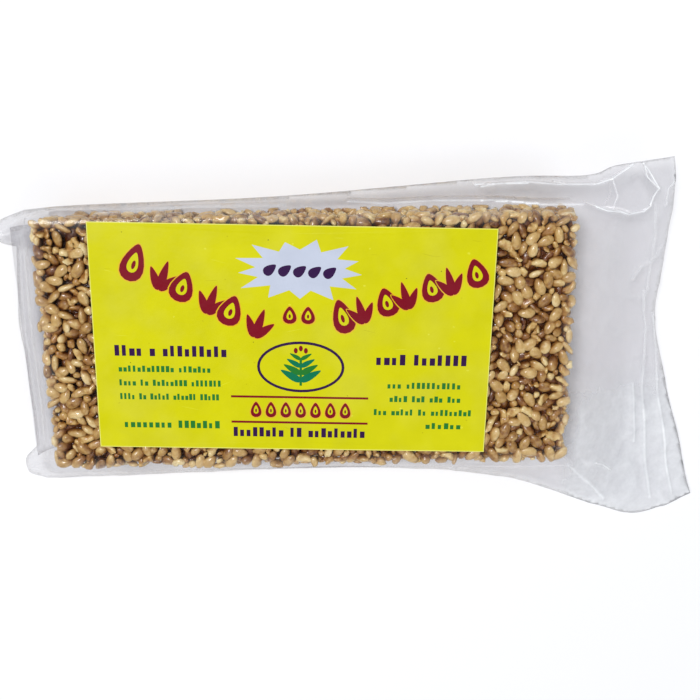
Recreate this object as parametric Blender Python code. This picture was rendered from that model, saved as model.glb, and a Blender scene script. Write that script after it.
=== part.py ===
"""Sesame brittle slab in its clear bag, with a paper label on its face.

The pack lies flat with the label up. X runs along the slab, Y across it and Z up, in metres.
The origin is the middle of the whole pack's footprint, on the surface that it lies on.
"""

import math
import random

import bmesh
import bpy
from mathutils import Vector
from mathutils.geometry import delaunay_2d_cdt

MM = 0.001
TOLERANCE = 1e-7
# The triangulation's way of keeping only what lies inside the border
KEEP_INSIDE = 1

# The slab
SLAB_LENGTH = 105 * MM
SLAB_WIDTH = 50.8 * MM
SLAB_THICKNESS = 14 * MM

# The seeds that cover it. A crest is the back of one seed, a valley the gap between three.
SEED_PITCH = 2.65 * MM
SEED_CREST = 1.3 * MM
SEED_DEPTH = 0.8 * MM
SEED_UNEVENNESS = 0.3 * MM
SEED_JOG = 0.16 * SEED_PITCH
SEED_TO_EDGE = 0.32 * SEED_PITCH
EDGE_ROUNDING = 0.35 * MM
RANDOM_SEED = 20

# The paper label, laid a little askew on the seeds
LABEL_LENGTH = 78.4 * MM
LABEL_WIDTH = 45.5 * MM
LABEL_THICKNESS = 0.25 * MM
LABEL_CENTRE = (-2.85 * MM, 1.1 * MM)
LABEL_TURN = math.radians(-1.7)
LABEL_WAVE = 0.12 * MM
LABEL_GAP = 0.3 * MM
LABEL_SQUARES = (16, 4)
# How far the seeds run in under the label's edge
LABEL_MARGIN = 1.5 * MM

# The bag: its outline seen from above, round the slab's middle, in mm, in the order that a finger
# would follow it clockwise from the upper ear. Each stretch ends where the film has a corner.
TOP_FOLD = ((-55.4, 27.0), (-44, 27.8), (-5, 28.9), (38, 31.9), (55, 32.1), (61, 34.0), (72.1, 35.5))
OPEN_END = ((72.1, 35.5), (73.4, 21.0), (72.5, 2.0), (76.6, -13.6), (83.8, -38.2))
BOTTOM_FOLD = ((83.8, -38.2), (78, -41), (71, -42.7), (61, -39), (41, -31.9), (8, -29.2), (-57.2, -30.5))
LOWER_EAR = ((-57.2, -30.5), (-61.2, -29.4), (-61.6, -26.1), (-58.8, -23.1))
LEFT_FOLD = ((-58.8, -23.1), (-59.0, -5.5), (-59.4, 4.0), (-58.0, 19.7))
UPPER_EAR = ((-58.0, 19.7), (-61.3, 20.4), (-64.6, 22.2), (-60.8, 25.0), (-55.4, 27.0))

BAG_GAP = 0.35 * MM
FILM_HALF = 0.3 * MM
WEDGE_REACH = 14 * MM
WEDGE_POWER = 1.25
RINGS = 6
FLAP_DROOP = 3.6 * MM
FLAP_REACH = 26 * MM
CORNER_CURL = 4.0 * MM
CURL_REACH = 24 * MM
RIPPLE = 0.55 * MM
RIPPLE_LENGTH = 17 * MM

COLOURS = {
    "slab": ((0.60, 0.42, 0.22, 1.0), 0.45),
    "label": ((0.79, 0.76, 0.02, 1.0), 0.5),
    "bag": ((0.80, 0.80, 0.83, 0.3), 0.12),
}


def clear_scene():
    for obj in list(bpy.data.objects):
        bpy.data.objects.remove(obj)


def material(name):
    colour, roughness = COLOURS[name]
    made = bpy.data.materials.new(name)
    made.use_nodes = True
    shader = made.node_tree.nodes["Principled BSDF"]
    shader.inputs["Base Color"].default_value = colour
    shader.inputs["Roughness"].default_value = roughness
    shader.inputs["Metallic"].default_value = 0.0
    shader.inputs["Alpha"].default_value = colour[3]
    return made


def add_object(name, bm):
    """Makes the bmesh an object of that name, with its faces turned outwards."""
    bmesh.ops.recalc_face_normals(bm, faces=bm.faces)
    mesh = bpy.data.meshes.new(name)
    bm.to_mesh(mesh)
    bm.free()
    mesh.materials.append(material(name))
    obj = bpy.data.objects.new(name, mesh)
    bpy.context.scene.collection.objects.link(obj)
    return obj


def smooth(t):
    """0 below 0, 1 above 1 and an even S between."""
    t = min(1.0, max(0.0, t))
    return t * t * (3 - 2 * t)


def in_label(x, y, margin):
    """True if a point of the slab's face lies under the label, in from its edge by the margin."""
    dx, dy = x - LABEL_CENTRE[0], y - LABEL_CENTRE[1]
    along = dx * math.cos(LABEL_TURN) + dy * math.sin(LABEL_TURN)
    across = dy * math.cos(LABEL_TURN) - dx * math.sin(LABEL_TURN)
    return abs(along) < LABEL_LENGTH / 2 - margin and abs(across) < LABEL_WIDTH / 2 - margin


class Slab:
    """A block whose top and sides are covered in seeds, and whose underside is flat."""

    def __init__(self):
        self.draw = random.Random(RANDOM_SEED)
        self.bm = bmesh.new()
        self.edges = {}
        half = Vector((SLAB_LENGTH / 2, SLAB_WIDTH / 2, SLAB_THICKNESS / 2))
        self.middle = Vector((0, 0, half.z))
        self.corners = {
            (i, j, k): self.middle + Vector((i * half.x, j * half.y, k * half.z))
            for i in (-1, 1)
            for j in (-1, 1)
            for k in (-1, 1)
        }

    def drawn_in(self, key, point, depth):
        """The point moved in from each face it lies on, but for the underside, which stays flat."""
        inward = Vector((-key[0], -key[1], 0 if key[2] < 0 else -key[2]))
        return point + inward * depth

    def corner(self, key):
        if key not in self.edges:
            at = self.drawn_in(key, self.corners[key], EDGE_ROUNDING + SEED_UNEVENNESS)
            self.edges[key] = self.bm.verts.new(at)
        return self.edges[key]

    def edge(self, a, b):
        """[(share of the way from a to b, vertex)] along a border that two faces have in common."""
        low, high = sorted((a, b))
        if (low, high) not in self.edges:
            start, end = self.corners[low], self.corners[high]
            count = round((end - start).length / (SEED_PITCH / 2))
            key = tuple((p + q) // 2 for p, q in zip(low, high))
            points = []
            for n in range(1, count):
                depth = EDGE_ROUNDING + self.draw.uniform(0, SEED_UNEVENNESS) + (n % 2) * SEED_DEPTH / 2
                at = self.drawn_in(key, start.lerp(end, n / count), depth)
                points.append((n / count, self.bm.verts.new(at)))
            self.edges[(low, high)] = points
        points = self.edges[(low, high)]
        return points if a == low else [(1 - t, v) for t, v in reversed(points)]

    def seeds(self, width, height, keep):
        """[(x, y, height)]: two crests for each seed and a valley between each three seeds."""
        row_step = SEED_PITCH * math.sqrt(3) / 2
        rows = round(height / row_step) - 1
        columns = round(width / SEED_PITCH) - 1
        centres = {}
        for j in range(rows):
            for i in range(columns):
                x = (i + 1 + 0.5 * (j % 2) - 0.25) * width / (columns + 1)
                y = (j + 1) * height / (rows + 1)
                jog = (self.draw.uniform(-SEED_JOG, SEED_JOG), self.draw.uniform(-SEED_JOG, SEED_JOG))
                centres[i, j] = Vector((x, y)) + Vector(jog)
        points = []
        for (i, j), centre in centres.items():
            turn = self.draw.uniform(0, math.pi)
            crest = -self.draw.uniform(0, SEED_UNEVENNESS)
            reach = Vector((math.cos(turn), math.sin(turn))) * SEED_CREST / 2
            points += [(*(centre + reach), crest), (*(centre - reach), crest)]
            here, beside = (i, j), (i + 1, j)
            above_left, above_right = (i - 1 + j % 2, j + 1), (i + j % 2, j + 1)
            for trio in ((here, beside, above_right), (here, above_left, above_right)):
                if all(place in centres for place in trio):
                    gap = sum((centres[place] for place in trio), Vector((0, 0))) / 3
                    points.append((*gap, -SEED_DEPTH - self.draw.uniform(0, SEED_UNEVENNESS)))
        return [
            (x, y, rise)
            for x, y, rise in points
            if SEED_TO_EDGE < x < width - SEED_TO_EDGE
            and SEED_TO_EDGE < y < height - SEED_TO_EDGE
            and keep(x, y)
        ]

    def face(self, keys, keep=None):
        """One side of the block. keys are its four corners, anticlockwise as seen from outside."""
        origin = self.corners[keys[0]]
        across, up = self.corners[keys[1]] - origin, self.corners[keys[3]] - origin
        width, height = across.length, up.length
        normal = across.cross(up).normalized()
        across.normalize()
        up.normalize()
        flat, verts = [], []
        square = (Vector((0, 0)), Vector((width, 0)), Vector((width, height)), Vector((0, height)))
        for n in range(4):
            a, b = keys[n], keys[(n + 1) % 4]
            flat.append(square[n])
            verts.append(self.corner(a))
            for share, vert in self.edge(a, b):
                flat.append(square[n].lerp(square[(n + 1) % 4], share))
                verts.append(vert)
        border = len(flat)
        if keep:
            for x, y, rise in self.seeds(width, height, keep):
                flat.append(Vector((x, y)))
                verts.append(self.bm.verts.new(origin + across * x + up * y + normal * rise))
        loop = list(range(border))
        cut = delaunay_2d_cdt(flat, [], [loop], KEEP_INSIDE, TOLERANCE)
        source = [number[0] for number in cut[3]]
        for triangle in cut[2]:
            self.bm.faces.new([verts[source[corner]] for corner in triangle])

    def build(self):
        def everywhere(_x, _y):
            return True

        def round_label(x, y):
            return not in_label(x - SLAB_LENGTH / 2, y - SLAB_WIDTH / 2, LABEL_MARGIN)

        self.face([(-1, -1, 1), (1, -1, 1), (1, 1, 1), (-1, 1, 1)], round_label)
        self.face([(-1, -1, -1), (1, -1, -1), (1, -1, 1), (-1, -1, 1)], everywhere)
        self.face([(1, -1, -1), (1, 1, -1), (1, 1, 1), (1, -1, 1)], everywhere)
        self.face([(1, 1, -1), (-1, 1, -1), (-1, 1, 1), (1, 1, 1)], everywhere)
        self.face([(-1, 1, -1), (-1, -1, -1), (-1, -1, 1), (-1, 1, 1)], everywhere)
        self.face([(-1, -1, -1), (-1, 1, -1), (1, 1, -1), (1, -1, -1)])
        return add_object("slab", self.bm)


def label():
    """A sheet of paper that follows the seeds in one slow wave."""
    base = SLAB_THICKNESS + LABEL_GAP + LABEL_WAVE
    columns, rows = LABEL_SQUARES
    bm = bmesh.new()
    bmesh.ops.create_grid(bm, x_segments=columns, y_segments=rows, size=0.5)
    for vert in bm.verts:
        x, y = vert.co.x * LABEL_LENGTH, vert.co.y * LABEL_WIDTH
        wave = math.sin(x / LABEL_LENGTH * 3 * math.pi) * math.cos(y / LABEL_WIDTH * math.pi)
        vert.co = (
            LABEL_CENTRE[0] + x * math.cos(LABEL_TURN) - y * math.sin(LABEL_TURN),
            LABEL_CENTRE[1] + x * math.sin(LABEL_TURN) + y * math.cos(LABEL_TURN),
            base + LABEL_WAVE * wave,
        )
    sheet = bmesh.ops.extrude_face_region(bm, geom=bm.faces[:])
    raised = [part for part in sheet["geom"] if isinstance(part, bmesh.types.BMVert)]
    bmesh.ops.translate(bm, verts=raised, vec=(0, 0, LABEL_THICKNESS))
    return add_object("label", bm)


def spline(points, count):
    """count points along a smooth curve through the given ones, the last one left out."""
    knots = [Vector(p) * MM for p in points]
    lengths = [(b - a).length for a, b in zip(knots, knots[1:])]
    ends = [2 * knots[0] - knots[1], *knots, 2 * knots[-1] - knots[-2]]
    made = []
    for n in range(count):
        way = n / count * sum(lengths)
        span = 0
        while way > lengths[span]:
            way -= lengths[span]
            span += 1
        t = way / lengths[span]
        a, b, c, d = ends[span : span + 4]
        made.append(
            0.5 * (2 * b + (c - a) * t + (2 * a - 5 * b + 4 * c - d) * t * t + (3 * b - a - 3 * c + d) * t**3)
        )
    return made


def film_middle(x, y):
    """Height of the film's middle surface: half way up the slab, drooping and rippling past its ends."""
    past = max(0.0, x - SLAB_LENGTH / 2, -x - SLAB_LENGTH / 2)
    share = smooth(past / FLAP_REACH)
    corner = Vector((x, y)) - Vector(OPEN_END[0]) * MM
    curl = CORNER_CURL * smooth(1 - corner.length / CURL_REACH)
    ripple = RIPPLE * math.sin(2 * math.pi * (y + 0.35 * x) / RIPPLE_LENGTH) * share
    return SLAB_THICKNESS / 2 - FLAP_DROOP * share + curl + ripple


def bag():
    """The bag out to its film: a skirt round the slab that closes from the slab's height to a flat flap."""
    half_x, half_y = SLAB_LENGTH / 2 + BAG_GAP, SLAB_WIDTH / 2 + BAG_GAP
    inner_corners = [(-half_x, half_y), (half_x, half_y), (half_x, -half_y), (-half_x, -half_y)]
    # The film beside each side of the slab, with the number of points along each stretch of it
    sides = (
        ((TOP_FOLD, 28),),
        ((OPEN_END, 18),),
        ((BOTTOM_FOLD, 30),),
        ((LOWER_EAR, 6), (LEFT_FOLD, 8), (UPPER_EAR, 8)),
    )
    inner, outer = [], []
    for n, stretches in enumerate(sides):
        rim = [point for points, count in stretches for point in spline(points, count)]
        start, end = Vector(inner_corners[n]), Vector(inner_corners[(n + 1) % 4])
        outer += rim
        inner += [start.lerp(end, k / len(rim)) for k in range(len(rim))]

    bm = bmesh.new()
    upper, lower = [], []
    for near, far in zip(inner, outer):
        reach = (far - near).length
        tops, bottoms = [], []
        for ring in range(RINGS + 1):
            at = near.lerp(far, ring / RINGS)
            closing = min(1.0, reach * ring / RINGS / min(reach, WEDGE_REACH))
            half = FILM_HALF + (SLAB_THICKNESS / 2 - FILM_HALF) * (1 - closing) ** WEDGE_POWER
            middle = film_middle(at.x, at.y) if ring else SLAB_THICKNESS / 2
            tops.append(bm.verts.new((at.x, at.y, middle + half)))
            bottoms.append(bm.verts.new((at.x, at.y, max(0.0, middle - half))))
        upper.append(tops)
        lower.append(bottoms)
    for n in range(len(inner)):
        after = (n + 1) % len(inner)
        for ring in range(RINGS):
            bm.faces.new((upper[n][ring], upper[after][ring], upper[after][ring + 1], upper[n][ring + 1]))
            bm.faces.new((lower[n][ring], lower[n][ring + 1], lower[after][ring + 1], lower[after][ring]))
        bm.faces.new((upper[n][0], lower[n][0], lower[after][0], upper[after][0]))
        bm.faces.new((upper[n][-1], upper[after][-1], lower[after][-1], lower[n][-1]))
    bmesh.ops.triangulate(bm, faces=bm.faces)
    return add_object("bag", bm)


def centre_on_origin(objects):
    """Puts the middle of the pack's footprint at the origin, and its lowest point on z = 0."""
    points = [vert.co for obj in objects for vert in obj.data.vertices]
    low = Vector([min(p[axis] for p in points) for axis in range(3)])
    high = Vector([max(p[axis] for p in points) for axis in range(3)])
    shift = Vector((-(low.x + high.x) / 2, -(low.y + high.y) / 2, -low.z))
    for obj in objects:
        obj.location = shift


clear_scene()
centre_on_origin([Slab().build(), label(), bag()])
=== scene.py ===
"""Dresses the sesame brittle pack: seeds set in syrup, a printed paper label and a clear film bag.

Places are in mm from the middle of the slab's underside, X along the slab, Y across it and Z up,
and become metres in the frame's own place as each mesh is made.
"""

import math

import bpy
import numpy as np
from mathutils import Euler, Matrix, Vector, noise
from mathutils.geometry import delaunay_2d_cdt
from mathutils.kdtree import KDTree


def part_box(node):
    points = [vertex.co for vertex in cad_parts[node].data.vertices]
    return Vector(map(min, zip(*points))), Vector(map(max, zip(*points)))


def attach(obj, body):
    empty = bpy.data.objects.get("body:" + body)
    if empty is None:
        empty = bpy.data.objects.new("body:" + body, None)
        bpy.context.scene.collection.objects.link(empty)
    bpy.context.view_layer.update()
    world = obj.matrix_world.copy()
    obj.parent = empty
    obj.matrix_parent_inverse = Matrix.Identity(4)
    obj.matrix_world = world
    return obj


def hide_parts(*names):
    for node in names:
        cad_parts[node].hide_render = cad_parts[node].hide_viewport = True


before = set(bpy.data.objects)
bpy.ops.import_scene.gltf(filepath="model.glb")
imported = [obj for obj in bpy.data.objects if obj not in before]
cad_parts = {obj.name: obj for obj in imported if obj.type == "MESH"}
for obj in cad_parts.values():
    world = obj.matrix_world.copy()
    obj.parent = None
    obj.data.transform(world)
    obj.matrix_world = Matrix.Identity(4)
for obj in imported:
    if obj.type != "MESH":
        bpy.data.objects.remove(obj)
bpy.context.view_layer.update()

MM = 0.001

slab_low, slab_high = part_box("slab")
ORIGIN = Vector(((slab_low.x + slab_high.x) / 2, (slab_low.y + slab_high.y) / 2, slab_low.z))
LENGTH, WIDTH, THICKNESS = (side / MM for side in slab_high - slab_low)
HALF = np.array([LENGTH / 2, WIDTH / 2, THICKNESS / 2])

# Heights of the thin layers under and over the slab
FILM_UNDER_Z = 0.2
SEEDS_UNDER_Z = 0.3
SEEDS_OVER_Z = THICKNESS - 0.08
FILM_OVER_Z = THICKNESS + 0.06
LABEL_Z = THICKNESS + 0.36

# The label
LABEL_SIZE = (78.4, 45.8)
LABEL_CENTRE = (-2.85, 1.25)
LABEL_TURN = math.radians(-1.9)
CUT_EDGE = 0.16
PAPER = 0.12
PAPER_STEP = 1.6

# The film's outline from above, clockwise from the upper ear. A stretch ends where the film has a corner.
TOP_FOLD = ((-55.4, 27.0), (-44, 27.8), (-5, 28.9), (38, 31.9), (55, 32.1), (61, 34.0), (72.1, 35.5))
OPEN_END = ((72.1, 35.5), (73.4, 21.0), (72.5, 2.0), (76.6, -13.6), (83.8, -38.2))
BOTTOM_FOLD = ((83.8, -38.2), (78, -41), (71, -42.7), (61, -39), (41, -31.9), (8, -29.2), (-57.2, -30.5))
LOWER_EAR = ((-57.2, -30.5), (-61.2, -29.4), (-61.6, -26.1), (-58.8, -23.1))
LEFT_FOLD = ((-58.8, -23.1), (-59.0, -5.5), (-59.4, 4.0), (-58.0, 19.7))
UPPER_EAR = ((-58.0, 19.7), (-61.3, 20.4), (-64.6, 22.2), (-60.8, 25.0), (-55.4, 27.0))


# Small helpers


def tint(red, green, blue):
    """A colour picked from a screen, 0 to 255, as the shader wants it."""
    parts = (((c / 255 + 0.055) / 1.055) ** 2.4 if c > 10 else c / 3294 for c in (red, green, blue))
    return (*parts, 1.0)


def add(tree, kind, inputs=(), **settings):
    """A new node. inputs gives sockets, by name or number, a value or another node's output."""
    made = tree.nodes.new(kind)
    for name, value in settings.items():
        setattr(made, name, value)
    for key, value in dict(inputs).items():
        if isinstance(value, bpy.types.NodeSocket):
            tree.links.new(value, made.inputs[key])
        else:
            made.inputs[key].default_value = value
    return made


def ramp(tree, factor, stops):
    """A Color Ramp's output: stops are (place, colour)."""
    made = add(tree, "ShaderNodeValToRGB", {0: factor})
    band = made.color_ramp
    while len(band.elements) < len(stops):
        band.elements.new(0.5)
    for element, (place, colour) in zip(band.elements, stops):
        element.position = place
        element.color = colour
    return made.outputs[0]


def multiply(tree, first, second):
    """The product of two colours. 6 and 7 are the node's two colours, whose names other sockets share."""
    inputs = {0: 1.0, 6: first, 7: second}
    return add(tree, "ShaderNodeMix", inputs, data_type="RGBA", blend_type="MULTIPLY").outputs[2]


def math_node(tree, operation, a, b, clamp=False):
    return add(tree, "ShaderNodeMath", {0: a, 1: b}, operation=operation, use_clamp=clamp).outputs[0]


def stored(tree, name, output="Fac"):
    """A value, or a colour, that is kept on the mesh."""
    return add(tree, "ShaderNodeAttribute", attribute_name=name).outputs[output]


def new_group(name, kind, inputs, outputs):
    """An empty node group with named sockets: inputs are (name, socket type, default)."""
    group = bpy.data.node_groups.new(name, kind)
    for label, socket_type, default in inputs:
        socket = group.interface.new_socket(name=label, in_out="INPUT", socket_type=socket_type)
        if default is not None:
            socket.default_value = default
    for label, socket_type in outputs:
        group.interface.new_socket(name=label, in_out="OUTPUT", socket_type=socket_type)
    return group, group.nodes.new("NodeGroupInput"), group.nodes.new("NodeGroupOutput")


def placed(name, data):
    """An object in the scene, at the origin, for a mesh, a lamp or a camera."""
    obj = bpy.data.objects.new(name, data)
    bpy.context.scene.collection.objects.link(obj)
    return obj


def mesh_object(name, points, faces, material, smooth=True):
    """A mesh of points in mm, made an object in the frame's place."""
    mesh = bpy.data.meshes.new(name)
    mesh.from_pydata([(Vector(p) * MM + ORIGIN)[:] for p in points], [], faces)
    mesh.validate()
    mesh.materials.append(material)
    if smooth:
        mesh.shade_smooth()
    return placed(name, mesh)


def attribute(mesh, name, values, kind="FLOAT"):
    """Stores a value for each point of the mesh."""
    made = mesh.attributes.new(name, kind, "POINT")
    made.data.foreach_set("vector" if kind == "FLOAT_VECTOR" else "value", np.ravel(values))


def vertex_places(mesh):
    places = np.empty(3 * len(mesh.vertices))
    mesh.vertices.foreach_get("co", places)
    return places.reshape(-1, 3)


def tree_of(points):
    """A tree of the points, to look up which ones are near a place."""
    tree = KDTree(len(points))
    for number, at in enumerate(points):
        tree.insert(at, number)
    tree.balance()
    return tree


def turned(x, y, turn, centre):
    """A place turned about the middle and moved to a centre."""
    return (
        centre[0] + x * math.cos(turn) - y * math.sin(turn),
        centre[1] + x * math.sin(turn) + y * math.cos(turn),
    )


def finish_piece(piece, node):
    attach(piece, "root")
    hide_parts(node)


def in_label(x, y, margin):
    """Where points of the face lie under the label, in from its edge by the margin."""
    dx, dy = x - LABEL_CENTRE[0], y - LABEL_CENTRE[1]
    along = dx * math.cos(LABEL_TURN) + dy * math.sin(LABEL_TURN)
    across = dy * math.cos(LABEL_TURN) - dx * math.sin(LABEL_TURN)
    return (abs(along) < LABEL_SIZE[0] / 2 - margin) & (abs(across) < LABEL_SIZE[1] / 2 - margin)


# Effects that several materials share


def patches_group():
    """Soft uneven patches between two values."""
    group, given, out = new_group(
        "patches",
        "ShaderNodeTree",
        [
            ("Scale", "NodeSocketFloat", 400.0),
            ("Low", "NodeSocketFloat", 0.0),
            ("High", "NodeSocketFloat", 1.0),
        ],
        [("Value", "NodeSocketFloat")],
    )
    where = add(group, "ShaderNodeTexCoord").outputs["Object"]
    inputs = {"Vector": where, "Scale": given.outputs["Scale"], "Detail": 3.0}
    cloud = add(group, "ShaderNodeTexNoise", inputs)
    spread = add(
        group,
        "ShaderNodeMapRange",
        {
            "Value": cloud.outputs[0],
            "From Min": 0.3,
            "From Max": 0.7,
            "To Min": given.outputs["Low"],
            "To Max": given.outputs["High"],
        },
    )
    group.links.new(spread.outputs[0], out.inputs[0])
    return group


PATCHES = patches_group()


def patches(tree, scale, low, high):
    made = add(tree, "ShaderNodeGroup", node_tree=PATCHES)
    for name, value in (("Scale", scale), ("Low", low), ("High", high)):
        made.inputs[name].default_value = value
    return made.outputs[0]


def roughen(tree, shader, scale, strength, distance):
    """Fine unevenness in the shader's normal."""
    height = patches(tree, scale, 0.0, 1.0)
    bump = add(tree, "ShaderNodeBump", {"Height": height, "Strength": strength, "Distance": distance})
    tree.links.new(bump.outputs[0], shader.inputs["Normal"])


def principled(name, **values):
    """A material with plain values on its Principled shader. Returns it, its tree and the shader."""
    material = bpy.data.materials.new(name)
    material.use_nodes = True
    shader = material.node_tree.nodes["Principled BSDF"]
    for label, value in values.items():
        shader.inputs[label.replace("_", " ")].default_value = value
    return material, material.node_tree, shader


# The slab's seeds


TOASTED = (
    (0.0, tint(130, 82, 34)),
    (0.1, tint(166, 121, 62)),
    (0.35, tint(204, 166, 101)),
    (0.65, tint(229, 197, 133)),
    (1.0, tint(250, 227, 172)),
)
POPPED = (
    (0.0, tint(178, 128, 62)),
    (0.3, tint(214, 171, 98)),
    (0.6, tint(240, 209, 140)),
    (1.0, tint(253, 236, 184)),
)

# What a skin's colour is multiplied by: on a seed's flat sides, at its tip, and under the syrup, where
# painted shade darkens it too
BARE = (1, 1, 1, 1)
TOASTED_FLAT = (0.88, 0.8, 0.66, 1)
TOASTED_TIP = (0.66, 0.52, 0.38, 1)
POPPED_FLAT = (0.97, 0.94, 0.88, 1)
POPPED_TIP = (0.9, 0.84, 0.72, 1)
THIN_SYRUP_AND_SHADE = (0.6, 0.43, 0.25, 1)
THICK_SYRUP_AND_SHADE = (0.2, 0.075, 0.012, 1)

# The depth below a face, in mm, where the coat of syrup and the painted shade are full, and the shares of it
# where they change
SYRUP_AND_SHADE_DEPTH = 2.0
SYRUP_AND_SHADE_STOPS = ((0.12, BARE), (0.38, THIN_SYRUP_AND_SHADE), (0.7, THICK_SYRUP_AND_SHADE))
SYRUP_TONES = ((0.0, tint(48, 20, 2)), (1.0, tint(96, 48, 10)))


def seed_material(name, colours, flat_shade, tip_shade):
    """A glossy skin: a tone for each seed, browner in the middle of its flat sides and at its tip, and darker
    with depth below the faces, for syrup and painted shade.
    """
    material, tree, shader = principled(name, Coat_Weight=0.65, Coat_Roughness=0.15)
    tone = math_node(tree, "ADD", stored(tree, "tone"), patches(tree, 1100.0, -0.2, 0.2), clamp=True)
    # Deeper below the faces the skin takes the syrup's colour and painted shade: the dark between the seeds
    # and on their sides stands for shadow.
    depth = math_node(tree, "ADD", stored(tree, "sunk"), patches(tree, 700.0, -0.16, 0.16))
    colour = ramp(tree, tone, colours)
    for share, stops in (
        (stored(tree, "flat"), ((0.25, BARE), (0.8, flat_shade))),
        (stored(tree, "along"), ((0.7, BARE), (1.0, tip_shade))),
        (depth, SYRUP_AND_SHADE_STOPS),
    ):
        colour = multiply(tree, colour, ramp(tree, share, stops))
    tree.links.new(colour, shader.inputs["Base Color"])
    tree.links.new(patches(tree, 900.0, 0.28, 0.5), shader.inputs["Roughness"])
    roughen(tree, shader, 2200.0, 0.6, 0.00012)
    return material


def syrup_material():
    material, tree, shader = principled(
        "set_syrup", Roughness=0.2, Specular_IOR_Level=0.35, Coat_Weight=0.25, Coat_Roughness=0.08
    )
    colour = ramp(tree, patches(tree, 500.0, 0.0, 1.0), SYRUP_TONES)
    tree.links.new(colour, shader.inputs["Base Color"])
    roughen(tree, shader, 1500.0, 0.5, 0.0002)
    return material


def nearest_face(points):
    """How deep each point lies below the slab's faces, and the outward normal of the one it lies along."""
    offset = points - np.array([0, 0, HALF[2]])
    room = HALF - np.abs(offset)
    axis = (room * FLAT_FIRST).argmin(-1)
    normal = np.zeros_like(points)
    index = np.arange(len(points))
    normal[index, axis] = np.sign(offset[index, axis])
    return room.min(-1), normal


def unit(vectors):
    return vectors / np.linalg.norm(vectors, axis=-1, keepdims=True)


# Near an edge, more seeds lie along the top and the underside than along the narrow sides.
FLAT_FIRST = np.array([1.0, 1.0, 0.55])

# A seed is packed as a rod of three balls, which count as flattened along the face's normal. The rod is a
# little smaller than the seed, so that seeds touch.
ENDS = np.array([-1.0, 0.0, 1.0])
BALLS = np.array([0.68, 1.0, 0.68])
ROD_SHARE = 0.92
LEAST_REACH = 0.05

# The layer that holds single seeds, and the cells that they are strewn in, in mm
LAYER = 3.3
CELL = 1.94
HIDDEN_MARGIN = 5.5

# Settling: how many rounds, how many of them share one list of near pairs, how far such a pair may be apart,
# and how much of an overlap one round takes away
SETTLE_ROUNDS = 72
ROUNDS_PER_LIST = 8
NEAR = 4.6
EASE = 0.55

# How far the balls may reach past the faces, and the pressed seeds themselves
PRESSED = np.array([1.0, 1.1, 0.15])
BULGE = np.array([0.5, 0.55, 0.0])

# Kinds, and how they lie: most nearly flat on the face, some tilted
SEED, POPPED_GRAIN, ROUND_GRAIN = range(3)
SHARES = (0.68, 0.18, 0.14)
TILTED_SHARE = 0.2
TILT = (0.6, 1.5)
WOBBLE = 0.26
LIES_ALONG = 0.9

# Sizes: mean, spread, least and most in mm, or ranges
SEED_WIDTH = (2.2, 0.19, 1.75, 2.65)
SEED_LENGTH = (3.55, 0.32, 2.8, 4.3)
SEED_FLATNESS = (0.56, 0.76)
POPPED_WIDTH = (1.7, 2.4)
POPPED_FLATNESS = (0.8, 1.0)
POPPED_STRETCH = (1.25, 1.6)
ROUND_WIDTH = (1.2, 1.8)
ROUND_STRETCH = (0.85, 1.25)

# Tones: the two shapes of their spread, where pale seeds begin, and the share of dark ones and how dark
TONE_SPREAD = (3.0, 2.6)
PALE_FROM = 0.55
DARK_SHARE = 0.07
DARK = 0.25

# Small grains fill the holes that are left between the seeds near the faces. Their width, thickness and
# length are ranges of a hole's room.
HOLE_SHARES = (0.45, 0.35, 0.2)
HOLE_STEP = 0.45
HOLE_DEPTH = 0.95
HOLE_ROOM = 0.5
HOLE_MOST = 0.8
HOLE_NEIGHBOURS = 14
HOLE_GRAIN = ((1.9, 2.3), (1.6, 2.0), (2.6, 3.6))
HOLE_JITTER = 0.08
HOLE_LIES_ALONG = 0.7

# Shapes: rings and sides of the mesh; how much it narrows to the tip, bends, is pinched at the waist and is
# lobed; how uneven it is and how long its unevenness, in mm
SHAPES = {
    "drops": (6, 8, 0.22, 0.0, 0.0, 0.02, 0.24, 1.2),
    "beans": (8, 9, 0.05, 0.2, 0.3, 0.22, 1.2, 0.8),
    "rounds": (6, 8, 0.08, 0.05, 0.1, 0.1, 0.75, 0.7),
}
LOBES = 3.0
LOBE_TWIST = 1.8


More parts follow.
